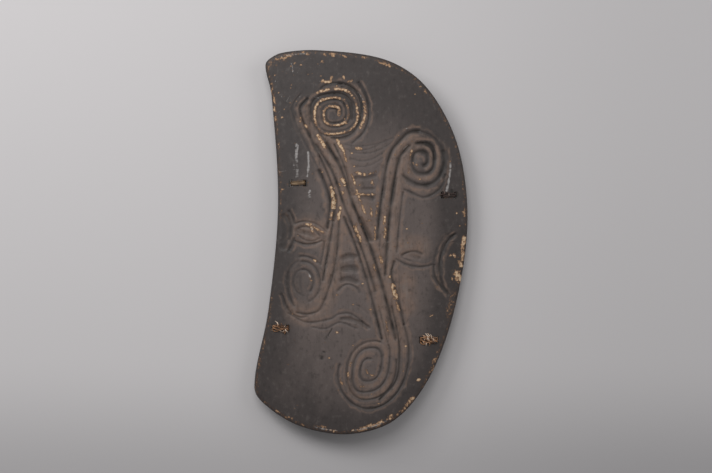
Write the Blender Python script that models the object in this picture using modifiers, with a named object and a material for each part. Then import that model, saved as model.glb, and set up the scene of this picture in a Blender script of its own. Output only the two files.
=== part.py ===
"""Carved wooden war shield, lying on its back with the carved face up.

One plank, hewn to a crescent and crowned across its width, carries two long straps that end in
scrolls. Four split cane ties pass through pairs of holes and lash two bent cane grips to its back.
+Z is up, +Y is towards the shield's top, and the origin is below the middle of the plank.
"""
import math

import bpy
import bmesh
import numpy as np
from mathutils import Matrix, Vector

# Driving dimensions, in metres. Drawing points are in millimetres from the plank's middle.
MM = 0.001
LENGTH = 1.2                 # the plank, from top to foot
HALF_WIDTH = 0.335           # half its width, where the crown runs out
THICKNESS = 0.018            # plank, the same everywhere
CROWN = 0.040                # rise of the plank's middle over its long edges
RIM_ROUND = 0.006            # rounding of the rim, front and back
STRIP = 0.042                # width of the flat strips that follow the crown
GAP = 0.0004                 # between pieces that touch

GRIP_RADIUS = 0.009
FINGER_GAP = 0.040           # between a grip's middle run and the plank's back
GRIP_END = 0.024             # length of a grip past its tie
GRIP_TIED = 0.014            # length beside each tie that lies against the plank
GRIP_BEND = 0.078            # length over which a grip leaves the plank
GRIP_LOW = 1.045             # a tied grip's middle below the back, in radii, to clear the crown's facets
BEND_STEPS = 6               # facets over that bend

TIE_BAND = 0.015             # width of a tie's band of cane
TIE_CANE = 0.0028            # thickness of that band
TIE_CORNER = 0.002           # how far a tie's band is cut off where it bends into a hole
TIE_SLACK = 0.0018           # between a grip and the band under it
TIE_FOOT = 0.75              # half the band's run under a grip, as a share of the grip's radius
TIE_SPREAD = (0.004, 0.003)  # and where it turns up beside the grip, out and up from there
HOLE_LEAVE = 0.001           # below the back, where the band leaves a hole
HOLE_WIDTH = 0.0085
HOLE_LENGTH = 0.020

SEAT = (0.100, 0.120)        # flat seat hewn in the middle of the back, across and along
SEAT_DEPTH = 0.0022
SEAT_CUTTER = 0.020          # height of the block that cuts the seat

OUTLINE_STEP = 0.026         # length of the rim's facets
STRAIGHT_STEP = 0.026        # length of a groove's facets along a strap
SCROLL_STEP = 0.0115         # and round a scroll
WELD = 0.00005               # points closer than this are one
GROOVE_END = 0.55            # a groove's size at its two ends, as a share of its full size

# The carving, in millimetres from the plank's middle and read to the nearest 5. Each strap has one main
# groove, from its upper end down, and its other grooves keep a distance from that one.
LONG_STRAP = [(-155, 380), (-110, 310), (-60, 225), (-25, 120), (20, 10), (65, -130), (110, -310)]
TURNING_EDGE = [(-165, 450), (-190, 410), (-150, 310), (-105, 215), (-80, 135), (-85, 75), (-120, -125)]
LOWER_LEFT_STRAP = [(-65, 110), (-80, -65), (-125, -205), (-165, -225), (-205, -220)]
SHORT_STRAP = [(155, 305), (120, 260), (100, 160), (85, 40), (75, -110)]
STRAP_WIDTH = 42             # from the long strap's main groove to the left one that runs beside it
SHORT_STRAP_HALF = 32        # from the short strap's main groove to its two edges
LOWER_LEFT_COIL = (-180, -125)
LEFT_RING = (-280, 35)       # middles of the two rings that the plank's edge cuts short
RIGHT_RING = (330, -80)

# Middle of each tie, and the distance between its two holes, in millimetres.
TIES = {
    "upper_left": ((-197, 184), 42),
    "upper_right": ((275, 147), 40),
    "lower_left": ((-252, -269), 46),
    "lower_right": ((212, -306), 50),
}

# The plank's edge, read to the nearest 5 mm, from its top left corner round by the right.
OUTLINE = [(-300, 555), (-280, 580), (-240, 595), (-135, 600), (60, 575), (175, 515), (255, 415), (310, 285),
           (335, 115), (325, -60), (275, -280), (200, -450), (100, -560), (-35, -600), (-180, -580),
           (-290, -520), (-335, -455), (-290, -210), (-260, 115), (-280, 455)]


def crown(x):
    """Height of the crowned plank over its long edges: a parabola across the width."""
    return CROWN * (1 - (x / HALF_WIDTH) ** 2)


def smooth(points, closed=False, step=STRAIGHT_STEP / MM):
    """Cubic curve through the points, with tangents from their neighbours, in steps of about step."""
    knots = np.array(points, float)
    if closed:
        knots = np.vstack([knots[-1], knots, knots[0], knots[1]])
    else:
        knots = np.vstack([2 * knots[0] - knots[1], knots, 2 * knots[-1] - knots[-2]])
    chords = np.linalg.norm(np.diff(knots, axis=0), axis=1)
    at = np.concatenate([[0], np.cumsum(chords ** 0.75)])
    slopes = (knots[2:] - knots[:-2]) / (at[2:] - at[:-2])[:, None]
    runs = []
    for i in range(1, len(knots) - 2):
        span = at[i + 1] - at[i]
        count = max(1, round(chords[i] / step))
        u = (np.arange(count) / count)[:, None]
        runs.append((2 * u**3 - 3 * u**2 + 1) * knots[i]
                    + (u**3 - 2 * u**2 + u) * span * slopes[i - 1]
                    + (3 * u**2 - 2 * u**3) * knots[i + 1]
                    + (u**3 - u**2) * span * slopes[i])
    if not closed:
        runs.append(knots[-2:-1])
    return np.vstack(runs)


def scroll(centre, radius, growth, stretch, tilt, start, end, square=0.0, corner=45):
    """Points of a turn whose radius grows by growth a turn, stretched along its own y axis and swelled
    a little at four corners."""
    mean = radius + growth * (start + end) / 720
    arc = abs(math.radians(end - start)) * mean * (1 + stretch) / 2
    angle = np.radians(np.linspace(start, end, max(4, round(arc / (SCROLL_STEP / MM))) + 1))
    swell = 1 + square * np.cos(4 * (angle - math.radians(corner)))
    reach = (radius + growth * angle / (2 * math.pi)) * swell
    turned = Matrix.Rotation(math.radians(tilt), 2)
    local = np.column_stack([reach * np.cos(angle), stretch * reach * np.sin(angle)])
    return local @ np.array(turned).T + np.array(centre, float)


def swag(left, right, sag):
    """Points of a shallow arc hung between two ends; a negative sag makes an arch."""
    u = np.linspace(0, 1, 6)[:, None]
    line = np.array(left, float) * (1 - u) + np.array(right, float) * u
    line[:, 1] -= 4 * sag * (u * (1 - u))[:, 0]
    return line


def beside(points, top, bottom, gap, last_gap=None):
    """The line beside a strap's main groove between two heights, square to it at this distance to its
    right; the distance may change evenly to a last one."""
    path = smooth(points)
    path = path[(path[:, 1] <= top) & (path[:, 1] >= bottom)]
    ahead = np.gradient(path, axis=0)
    aside = np.column_stack([-ahead[:, 1], ahead[:, 0]]) / np.linalg.norm(ahead, axis=1)[:, None]
    gaps = np.linspace(gap, gap if last_gap is None else last_gap, len(path))
    return path + gaps[:, None] * aside


def carved_lines():
    """Every groove of the carving: its name, its points, its width and its depth."""
    lines = []

    def cut(name, width, depth, *runs):
        lines.append((name, np.vstack(runs), width, depth))

    # The long strap runs from the upper left scroll, across the middle, to the lower right scroll.
    cut("upper_left_inner", 12, 5, scroll((-85, 400), 34, 28.5, 0.96, 22, -310, 505, 0.03, 30),
        smooth(LONG_STRAP))
    cut("upper_left_outer", 10, 4.4, scroll((-75, 410), 78, -2.5, 1.12, -1.5, 134, -104, -0.02, -5))
    cut("upper_left_edge", 8, 3.5, smooth([(-10, 500), (15, 455), (25, 400), (10, 345), (-30, 305)]))
    cut("long_strap_outer", 9, 4, smooth(TURNING_EDGE))
    cut("long_strap_border", 7, 3.5, beside(TURNING_EDGE, 451, 30, -26, -14))
    cut("long_strap_rib", 8, 3.5, beside(LONG_STRAP, 325, -155, -30, -26))
    cut("long_strap_left", 9, 4, beside(LONG_STRAP, 100, -290, -STRAP_WIDTH))
    cut("long_strap_shoulder", 8, 3.5, beside(LONG_STRAP, 300, 160, 20, 3))
    cut("long_strap_foot", 6, 2.5, beside(LONG_STRAP, -190, -308, -27))

    # The lower right scroll opens round the foot of the long strap.
    cut("lower_right_outer", 9, 4, smooth([(105, -55), (95, -100), (105, -140), (125, -215)]),
        scroll((-10, -380), 159, 203, 1.26, 4.4, 30, -185))
    cut("lower_right_middle", 8, 4, scroll((30, -395), 64, 15.3, 1.31, -17, 82, 391, -0.02, 22))
    cut("lower_right_inner", 8, 3.5, scroll((25, -390), 12, 24.7, 1.48, -19, 82, 781, -0.04, -68))
    cut("lower_right_rib", 7, 3, smooth([(95, -195), (110, -265), (120, -345), (110, -430), (55, -495)]))

    # The short strap comes down from the upper right scroll and joins the long one.
    cut("upper_right_inner", 11, 5, scroll((190, 255), 18, 23, 1.21, -2, -96, 481, 0.04, 53))
    cut("short_strap_middle", 12, 5, smooth(SHORT_STRAP))
    cut("short_strap_left", 10, 4.5, beside(SHORT_STRAP, 303, -2, -SHORT_STRAP_HALF)[::-1],
        scroll((185, 265), 72, -10.5, 1.19, 25, 96, -165))
    cut("short_strap_border", 7, 3.2, smooth([(265, 215), (250, 170), (200, 140), (145, 160), (130, 165)]))
    cut("short_strap_right", 7, 3.2, beside(SHORT_STRAP, 165, -35, SHORT_STRAP_HALF))

    # The lower left scroll turns back from the foot of its own strap, over a long double swag.
    cut("lower_left_strap", 8, 3.5, smooth(LOWER_LEFT_STRAP))
    cut("lower_left_top", 7, 3, scroll(LOWER_LEFT_COIL, 67, 0, 1.2, 0, 104, 45))
    cut("lower_left_middle", 7, 3, scroll(LOWER_LEFT_COIL, 53, 0, 1.21, 0, 100, -75))
    cut("lower_left_inner", 8, 3.5, scroll(LOWER_LEFT_COIL, 31, 0, 1.26, 0, 105, -55))
    cut("lower_left_outer", 8, 3.5, scroll(LOWER_LEFT_COIL, 50, 0, 1.85, 0, 158, 238))
    cut("lower_left_border", 7, 3, smooth([(-250, -160), (-225, -215), (-190, -235), (-165, -230)]))
    cut("lower_swag_upper", 8, 3.5,
        smooth([(-230, -220), (-170, -250), (-95, -240), (-70, -225), (-30, -225), (30, -270)]))
    cut("lower_swag_lower", 6, 2.5,
        smooth([(-155, -265), (-110, -270), (-65, -250), (-25, -265), (-10, -270)]))

    # Swags and rungs fill the wedge between the straps above the crossing, and arches the one below it.
    swags = (("upper_swag_1", 5, 2, (-55, 305), (100, 325), 15),
             ("upper_swag_2", 5, 2, (-40, 285), (95, 310), 20),
             ("upper_swag_3", 5, 2, (-30, 260), (75, 285), 18),
             ("upper_swag_4", 5, 2, (-30, 240), (70, 265), 16),
             ("upper_rung_1", 13, 3.5, (-15, 200), (40, 205), 4),
             ("upper_rung_2", 12, 3.5, (5, 165), (35, 165), 0),
             ("upper_rung_3", 14, 4, (5, 140), (35, 135), 0),
             ("lower_arch_1", 13, 4.5, (-55, -50), (-20, -45), -4),
             ("lower_arch_2", 16, 4.5, (-55, -85), (-15, -85), -7),
             ("lower_arch_3", 13, 4.5, (-65, -125), (-10, -120), -10),
             ("lower_arch_4", 9, 3.5, (-75, -155), (0, -160), -26),
             ("left_leaf_upper", 7, 3, (-210, 55), (-105, 30), -20),
             ("left_leaf_middle", 12, 3, (-200, 35), (-150, 20), 0),
             ("left_leaf_lower", 7, 3.5, (-210, 5), (-120, 5), 12),
             ("right_leaf_upper", 7, 3.5, (125, -45), (195, -40), -13),
             ("right_leaf_lower", 7, 3.5, (105, -50), (225, -70), 16))
    for name, width, depth, left, right, sag in swags:
        cut(name, width, depth, swag(left, right, sag))

    # Parts of two double rings stand at the sides, cut short by the plank's edge.
    cut("left_ring_upper", 7, 3.5, scroll(LEFT_RING, 73, 0, 1.28, 0, 44, 10))
    cut("left_ring_lower", 7, 3.5, scroll(LEFT_RING, 73, 0, 1.28, 0, -12, -46))
    cut("left_ring_inner", 7, 3.5, scroll(LEFT_RING, 61, 0, 1.26, 0, 40, -25))
    cut("right_ring_inner", 8, 4, scroll(RIGHT_RING, 84, 0, 1.37, 0, 112, 230))
    cut("right_ring_outer", 8, 4, scroll(RIGHT_RING, 103, 0, 0.9, 0, 172, 238))
    return lines


def new_material(name, colour, roughness):
    """A plain Principled material."""
    material = bpy.data.materials.new(name)
    material.use_nodes = True
    shader = material.node_tree.nodes["Principled BSDF"]
    shader.inputs["Base Color"].default_value = (*colour, 1)
    shader.inputs["Roughness"].default_value = roughness
    shader.inputs["Metallic"].default_value = 0.0
    return material


def new_collection(name):
    collection = bpy.data.collections.new(name)
    bpy.context.scene.collection.children.link(collection)
    return collection


def curve_object(name, points, flat, closed=False, radii=None):
    """A curve object with one POLY spline through the points."""
    curve = bpy.data.curves.new(name, "CURVE")
    curve.dimensions = "2D" if flat else "3D"
    spline = curve.splines.new("POLY")
    spline.points.add(len(points) - 1)
    for i, point in enumerate(points):
        spline.points[i].co = (*point, *([0] * (3 - len(point))), 1)
        spline.points[i].radius = 1 if radii is None else radii[i]
    spline.use_cyclic_u = closed
    thing = bpy.data.objects.new(name, curve)
    bpy.context.scene.collection.objects.link(thing)
    return thing


def made_mesh(thing, collection, material=None):
    """The object's evaluated mesh as a new object of the same name, its caps welded on."""
    bpy.context.view_layer.update()
    evaluated = thing.evaluated_get(bpy.context.evaluated_depsgraph_get())
    mesh = bpy.data.meshes.new_from_object(evaluated)
    mesh.transform(thing.matrix_world)
    name = thing.name
    bpy.data.objects.remove(thing)
    shape = bmesh.new()
    shape.from_mesh(mesh)
    bmesh.ops.remove_doubles(shape, verts=shape.verts, dist=WELD)
    bmesh.ops.recalc_face_normals(shape, faces=shape.faces)
    shape.to_mesh(mesh)
    shape.free()
    mesh.materials.clear()
    if material:
        mesh.materials.append(material)
    made = bpy.data.objects.new(name, mesh)
    collection.objects.link(made)
    return made


def as_cutter(thing):
    thing.hide_render = True
    thing.display_type = "WIRE"
    return thing


def box(name, size, centre, collection):
    """A cube primitive brought to its size at its place."""
    bpy.ops.mesh.primitive_cube_add(size=1, location=centre)
    thing = bpy.context.object
    thing.name = name
    thing.scale = size
    bpy.ops.object.transform_apply(location=False, rotation=False, scale=True)
    thing.users_collection[0].objects.unlink(thing)
    collection.objects.link(thing)
    return thing


def cut_with(thing, cutters):
    """Cuts a collection of cutters from the object and keeps the result as its mesh."""
    modifier = thing.modifiers.new("cut", "BOOLEAN")
    modifier.operation = "DIFFERENCE"
    modifier.solver = "EXACT"
    modifier.operand_type = "COLLECTION"
    modifier.collection = cutters
    bpy.context.view_layer.update()
    evaluated = thing.evaluated_get(bpy.context.evaluated_depsgraph_get())
    mesh = bpy.data.meshes.new_from_object(evaluated)
    thing.modifiers.remove(modifier)
    thing.data = mesh


def strip_for_crown(thing):
    """Splits the flat plank into long strips and triangles, so that it bends only where it has edges."""
    shape = bmesh.new()
    shape.from_mesh(thing.data)
    bmesh.ops.remove_doubles(shape, verts=shape.verts, dist=WELD)
    bmesh.ops.dissolve_limit(shape, angle_limit=math.radians(0.5), verts=shape.verts, edges=shape.edges)
    count = round(2 * HALF_WIDTH / STRIP)
    for x in np.linspace(-HALF_WIDTH, HALF_WIDTH, count + 1)[1:-1]:
        bmesh.ops.bisect_plane(shape, geom=shape.verts[:] + shape.edges[:] + shape.faces[:],
                               dist=WELD / 50, plane_co=(x, 0, 0), plane_no=(1, 0, 0))
    bmesh.ops.triangulate(shape, faces=shape.faces)
    shape.to_mesh(thing.data)
    shape.free()


def raise_crown(thing, lift):
    """Lifts every point by the crown at its x, so that a flat piece follows the crowned plank."""
    mesh = thing.data
    at = np.empty(len(mesh.vertices) * 3, np.float32)
    mesh.vertices.foreach_get("co", at)
    at = at.reshape(-1, 3)
    at[:, 2] += lift + crown(at[:, 0])
    mesh.vertices.foreach_set("co", at.ravel())
    mesh.update()


def groove_cutter(name, points, width, depth, collection):
    """A swept four-sided bar whose lower edge cuts a V of this width and depth, run out at both ends."""
    radii = np.ones(len(points))
    radii[[0, -1]] = GROOVE_END
    bar = curve_object(name, points * MM, flat=True, radii=radii)
    bar.data.bevel_depth = width * MM
    bar.data.bevel_resolution = 0
    bar.data.use_fill_caps = True
    bar.location.z = THICKNESS + depth * MM
    bar.scale.z = 2 * depth / width
    return as_cutter(made_mesh(bar, collection))


def make_board(collection, cutters, wood, lift):
    """The plank: a rounded outline, grooved and drilled flat, then raised to its crown."""
    edge = smooth(OUTLINE, closed=True, step=OUTLINE_STEP / MM)
    share = (edge - edge.min(axis=0)) / np.ptp(edge, axis=0)
    outline = (share - 0.5) * (2 * HALF_WIDTH, LENGTH)
    blank = curve_object("shield_board", outline, flat=True, closed=True)
    blank.data.fill_mode = "BOTH"
    blank.data.extrude = THICKNESS / 2 - RIM_ROUND
    blank.data.bevel_depth = RIM_ROUND
    blank.data.bevel_resolution = 1
    blank.data.offset = -RIM_ROUND
    blank.location.z = THICKNESS / 2
    board = made_mesh(blank, collection, wood)

    grooves = bpy.data.collections.new("grooves")
    cutters.children.link(grooves)
    for name, points, width, depth in carved_lines():
        groove_cutter("cut_" + name, points, width, depth, grooves)
    for name, ((x, y), span) in TIES.items():
        for side, hole in ((-1, "left"), (1, "right")):
            as_cutter(box(f"hole_{name}_{hole}", (HOLE_WIDTH, HOLE_LENGTH, 3 * THICKNESS),
                          ((x + side * span / 2) * MM, y * MM, THICKNESS / 2), grooves))
    cut_with(board, grooves)
    strip_for_crown(board)
    raise_crown(board, lift)

    seats = bpy.data.collections.new("seats")
    cutters.children.link(seats)
    seat_top = lift + CROWN + SEAT_DEPTH
    as_cutter(box("seat", (*SEAT, SEAT_CUTTER), (0, 0, seat_top - SEAT_CUTTER / 2), seats))
    cut_with(board, seats)
    return board


def make_tie(name, collection, cane, lift):
    """A band of split cane: over the face, down through both holes and under the grip."""
    (x, y), span = TIES[name]
    half = span * MM / 2
    over = THICKNESS + 2 * GAP + TIE_CANE / 2
    under = -2 * GRIP_RADIUS - TIE_SLACK - TIE_CANE / 2
    foot = GRIP_RADIUS * TIE_FOOT
    out, up = TIE_SPREAD
    loop = [(-half, over - TIE_CORNER), (-half + TIE_CORNER, over), (half - TIE_CORNER, over),
            (half, over - TIE_CORNER), (half, -HOLE_LEAVE), (foot + out, under + up), (foot, under),
            (-foot, under), (-foot - out, under + up), (-half, -HOLE_LEAVE)]
    ribbon = curve_object("tie_" + name, loop, flat=True, closed=True)
    ribbon.data.fill_mode = "NONE"
    ribbon.data.extrude = TIE_BAND / 2
    ribbon.location = (x * MM, y * MM, 0)
    ribbon.rotation_euler.x = math.pi / 2
    tie = made_mesh(ribbon, collection, cane)
    wall = tie.modifiers.new("cane", "SOLIDIFY")
    wall.thickness = TIE_CANE
    wall.offset = 0
    wall.use_even_offset = True
    raise_crown(tie, lift)
    return tie


def make_grip(side, collection, cane, lift):
    """A bent cane rod, tied flat to the plank at both ends and standing off it between them."""
    ends = [Vector((*TIES[f"{level}_{side}"][0], 0)) * MM for level in ("upper", "lower")]
    run = ends[1] - ends[0]
    tied = [lift + crown(end.x) - GRIP_LOW * GRIP_RADIUS - GAP for end in ends]

    def height(along):
        near = 0 if along < run.length / 2 else 1
        away = along if near == 0 else run.length - along
        u = min(max((away - GRIP_TIED) / GRIP_BEND, 0), 1)
        return tied[near] + (GRIP_RADIUS - tied[near]) * u * u * (3 - 2 * u)

    bend = [GRIP_TIED + GRIP_BEND * i / BEND_STEPS for i in range(BEND_STEPS + 2)]
    stops = [-GRIP_END, *bend, *[run.length - stop for stop in reversed(bend)], run.length + GRIP_END]
    points = [(*(ends[0] + run.normalized() * stop).xy, height(stop)) for stop in stops]
    rod = curve_object("grip_" + side, points, flat=False)
    rod.data.bevel_depth = GRIP_RADIUS
    rod.data.bevel_resolution = 2
    rod.data.use_fill_caps = True
    rod.data.twist_mode = "Z_UP"
    grip = made_mesh(rod, collection, cane)
    grip.data.shade_smooth()
    grip.data.set_sharp_from_angle(angle=math.radians(50))
    return grip


for old in list(bpy.data.objects):
    bpy.data.objects.remove(old)

shield = new_collection("war_shield")
cutting = new_collection("cutters")

# The grips' middle runs lie on the ground; the plank's back is a finger gap above them.
middle_x = sum(place[0] for place, span in TIES.values() if place[0] < 0) / 2 * MM
plank_lift = 2 * GRIP_RADIUS + FINGER_GAP - crown(middle_x)

dark_wood = new_material("dark_carved_wood", (0.040, 0.032, 0.028), 0.62)
tie_cane = new_material("split_cane", (0.210, 0.120, 0.055), 0.55)
grip_cane = new_material("peeled_cane", (0.170, 0.100, 0.050), 0.50)

make_board(shield, cutting, dark_wood, plank_lift)
for tie_name in TIES:
    make_tie(tie_name, shield, tie_cane, plank_lift)
for grip_side in ("left", "right"):
    make_grip(grip_side, shield, grip_cane, plank_lift)
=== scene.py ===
"""Carved tribal war shield, lying face up on the two cane grips of its back."""

import math
import bmesh
import bpy
import numpy as np
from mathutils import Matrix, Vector


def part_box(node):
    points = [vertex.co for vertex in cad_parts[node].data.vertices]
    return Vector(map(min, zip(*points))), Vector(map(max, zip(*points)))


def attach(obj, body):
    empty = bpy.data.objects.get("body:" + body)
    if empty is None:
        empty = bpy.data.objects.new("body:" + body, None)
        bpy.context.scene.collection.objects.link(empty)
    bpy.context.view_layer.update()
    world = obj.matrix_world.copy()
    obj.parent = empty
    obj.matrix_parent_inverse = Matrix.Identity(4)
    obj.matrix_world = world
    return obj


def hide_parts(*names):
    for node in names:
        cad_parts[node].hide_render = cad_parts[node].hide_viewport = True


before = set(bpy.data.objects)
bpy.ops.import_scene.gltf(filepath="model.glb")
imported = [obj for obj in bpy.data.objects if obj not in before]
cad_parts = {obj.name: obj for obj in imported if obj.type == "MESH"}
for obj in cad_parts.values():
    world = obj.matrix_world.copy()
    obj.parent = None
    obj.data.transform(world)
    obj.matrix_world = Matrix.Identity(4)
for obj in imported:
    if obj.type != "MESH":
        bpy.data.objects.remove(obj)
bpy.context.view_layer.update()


# The board: one plank of wood hewn to a crescent and crowned across its width. Its face is gouged
# with scrolls on two crossing straps, then blackened with soot and oil. The rim is rounded off, and
# years of handling have rubbed the ridges and the rim back to bare wood.

MM = 0.001
THICKNESS = 18                  # shapes are worked out in millimetres, and turned to metres in the meshes
board_low, board_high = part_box("shield_board")
HALF_WIDTH = (board_high.x - board_low.x) / 2 / MM
BACK_EDGE = board_low.z / MM    # height of the back at the two long edges
CROWN = (board_high.z - board_low.z) / MM - THICKNESS
RIM_BAND = 16                   # width of the rounded-off band inside the outline
RIM_FALL = 3.5                  # how far that band slopes down before it rounds over
RIM_ROUND = 5.5
BACK_ROUND = 4
COLUMNS = 160                   # squares of the face's grid, across and along
ROWS = 480
COARSER = 4                     # face squares to each square of the back
OUTLINE = [(-300, 555), (-280, 580), (-240, 595), (-135, 600), (60, 575), (175, 515), (255, 415), (310, 285),
           (335, 115), (325, -60), (275, -280), (200, -450), (100, -560), (-35, -600), (-180, -580),
           (-290, -520), (-335, -455), (-290, -210), (-260, 115), (-280, 455)]
CORNERS = [(-325, -490), (155, -515), (205, 485), (-290, 570)]   # where the grid's four sides meet

# Each lashing's middle on the face, and how far apart its two slots are.
TIES = {"upper_left": ((-197, 184), 42), "upper_right": ((275, 147), 40),
        "lower_left": ((-252, -269), 46), "lower_right": ((212, -306), 50)}
SLOT = (8.5, 20)                # slot for a lashing, across and along the board
SLOTS = [(tie_x + side * span / 2, tie_y) for (tie_x, tie_y), span in TIES.values() for side in (-1, 1)]
SEAT = (100, 120, 2.2)          # flat seat hewn in the back: across, along and deep
SCROLL_STEP = 6                 # degrees from one point of a scroll to the next
SWAG_POINTS = 9
LATTICE = 96                    # squares along each side of the noise's lattice, before it repeats


def crown(x):
    """Height of the plank's bend above its long edges: a parabola across the width."""
    return CROWN * (1 - (x / HALF_WIDTH) ** 2)


def smooth(points, closed=False, step=4.0):
    """A curve through the points: cubic Hermite runs, whose slopes join each point's two neighbours."""
    knots = np.array(points, float)
    if closed:
        knots = np.vstack([knots[-1], knots, knots[0], knots[1]])
    else:
        knots = np.vstack([2 * knots[0] - knots[1], knots, 2 * knots[-1] - knots[-2]])
    chords = np.linalg.norm(np.diff(knots, axis=0), axis=1)
    at = np.concatenate([[0], np.cumsum(chords ** 0.75)])
    slopes = (knots[2:] - knots[:-2]) / (at[2:] - at[:-2])[:, None]
    runs = []
    for i in range(1, len(knots) - 2):
        span = at[i + 1] - at[i]
        count = max(1, round(chords[i] / step))
        u = (np.arange(count) / count)[:, None]
        runs.append((2 * u**3 - 3 * u**2 + 1) * knots[i] + (u**3 - 2 * u**2 + u) * span * slopes[i - 1]
                    + (3 * u**2 - 2 * u**3) * knots[i + 1] + (u**3 - u**2) * span * slopes[i])
    if not closed:
        runs.append(knots[-2:-1])
    return np.vstack(runs)


def scroll(centre, radius, growth, stretch, tilt, start, end, square=0.0, corner=45):
    """Part of a coil: the radius grows evenly with the angle, four corners swell it, the height is
    stretched, and the whole is tilted."""
    angle = np.radians(np.linspace(start, end, max(8, round(abs(end - start) / SCROLL_STEP))))
    reach = (radius + growth * angle / (2 * np.pi)) * (1 + square * np.cos(4 * (angle - np.radians(corner))))
    x, y = reach * np.cos(angle), reach * np.sin(angle) * stretch
    turn = np.radians(tilt)
    return np.stack([centre[0] + x * np.cos(turn) - y * np.sin(turn),
                     centre[1] + x * np.sin(turn) + y * np.cos(turn)], axis=1)


def swag(left, right, sag):
    """A hanging arc between two points: a parabola that sags below their chord, or arches above it."""
    u = np.linspace(0, 1, SWAG_POINTS)[:, None]
    chord = np.array(left) * (1 - u) + np.array(right) * u
    return chord - np.hstack([0 * u, 4 * sag * u * (1 - u)])


def mottle(x, y, size, seed):
    """Smooth noise from 0 to 1: random values on a square lattice, eased between the four around a point."""
    lattice = np.random.default_rng(seed).random((LATTICE + 1, LATTICE + 1))
    i, j = np.floor(x / size), np.floor(y / size)
    u, v = x / size - i, y / size - j
    u, v = u * u * (3 - 2 * u), v * v * (3 - 2 * v)
    i, j = i.astype(int) % LATTICE, j.astype(int) % LATTICE
    below = lattice[i, j] * (1 - u) + lattice[i + 1, j] * u
    above = lattice[i, j + 1] * (1 - u) + lattice[i + 1, j + 1] * u
    return below * (1 - v) + above * v


def ease(low, high, value):
    """0 below low, 1 above high, and a smooth step between."""
    u = np.clip((value - low) / (high - low), 0, 1)
    return u * u * (3 - 2 * u)


def nearest(points, path, reach):
    """Of the points within reach of a path: their numbers, how far from it they are, and how far along it
    from its nearer end. Each straight run of it is tried in turn, and the nearest is kept. A path that is
    given as a list has a smooth line drawn through it."""
    path = smooth(path) if isinstance(path, list) else path
    near = np.flatnonzero(((points > path.min(0) - reach) & (points < path.max(0) + reach)).all(1))
    here = points[near]
    runs = np.diff(path, axis=0)
    lengths = np.linalg.norm(runs, axis=1)
    away, travelled = np.full(len(near), np.inf), np.zeros(len(near))
    for start, run, length, passed in zip(path, runs, lengths, np.cumsum(lengths) - lengths):
        step = np.clip((here - start) @ run / length**2, 0, 1)
        gap = np.linalg.norm(here - start - step[:, None] * run, axis=1)
        closer = gap < away
        away[closer] = gap[closer]
        travelled[closer] = passed + step[closer] * length
    within = away < reach
    return near[within], away[within], np.minimum(travelled, lengths.sum() - travelled)[within]


def leftward(ahead):
    """The directions square to these, on their left, at length 1."""
    return np.stack([-ahead[:, 1], ahead[:, 0]], axis=1) / np.linalg.norm(ahead, axis=1)[:, None]


outline = smooth(OUTLINE, closed=True)[::-1]
outline = outline - outline.min(axis=0)
outline *= [(board_high.x - board_low.x) / MM, (board_high.y - board_low.y) / MM] / outline.max(axis=0)
outline += [board_low.x / MM, board_low.y / MM]


def outline_inset(inset):
    """The outline, which turns left, moved in from the edge square to its own direction."""
    return outline + inset * leftward(np.roll(outline, -1, axis=0) - np.roll(outline, 1, axis=0))


def rim(start, end, inset):
    """The stretch of rim between two bearings from the board's middle, in degrees, this far in from the
    edge."""
    line = outline_inset(inset)
    bearing = (np.degrees(np.arctan2(line[:, 1], line[:, 0])) - start) % 360
    order = np.argsort(bearing)
    return line[order][bearing[order] < end - start]


def beside(points, top, bottom, gap=0.0, last_gap=None):
    """A strap's main groove between two heights, or the line this far from it, on the side of +X on a
    strap that runs down. The distance may change evenly to a last one."""
    path = smooth(points)
    path = path[(path[:, 1] <= top) & (path[:, 1] >= bottom)]
    return flanking(path, np.linspace(gap, gap if last_gap is None else last_gap, len(path)))


def flanking(path, gap):
    """The line that runs this far to the left of a path, seen along it."""
    return path + leftward(np.gradient(path, axis=0)) * np.reshape(gap, (-1, 1))


COILS = {                       # centre, growth in one turn, stretch, tilt, squareness and its corners
    "upper_left": ((-85, 400), 29.5, 0.94, 6.5, -0.04, 4),
    "upper_left_ring": ((-90, 400), 0, 0.89, 25, 0, 45),
    "upper_left_edge": ((-75, 410), -2.5, 1.12, -1.5, -0.02, -5),
    "upper_right": ((190, 255), 23, 1.21, -2, 0.04, 53),
    "upper_right_edge": ((185, 265), -10.5, 1.19, 25, 0.01, -90),
    "lower_right": ((25, -390), 24.7, 1.48, -19, -0.04, -68),
    "lower_right_edge": ((30, -395), 15.3, 1.31, -17, -0.02, 22),
    "lower_right_outer": ((-10, -380), 203, 1.26, 4.4, 0, 45)}
CREST_RADIUS = 18               # of the upper left coil's standing ridge
BETWEEN_CRESTS = 32.5           # of the floor between that ridge's turns
RING_RADIUS = 105               # of the second ridge, round the right of it
LOWER_LEFT_COIL = (-180, -125)
LEFT_RING = (-280, 35)
RIGHT_RING = (330, -80)


def coil(name, radius, start, end):
    """Part of one of the coils, between two angles, that has this radius at angle 0."""
    centre, growth, stretch, tilt, square, corner = COILS[name]
    return scroll(centre, radius, growth, stretch, tilt, start, end, square, corner)


def oval(centre, radius, stretch, start, end):
    """Part of an upright oval ring between two angles."""
    return scroll(centre, radius, 0, stretch, 0, start, end)


def crest(start, end):
    """Part of the upper left coil's standing ridge."""
    return coil("upper_left", CREST_RADIUS, start, end)


def outer_crest(start, end):
    """Part of the second ridge, round the right of that coil."""
    return coil("upper_left_ring", RING_RADIUS, start, end)


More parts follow.
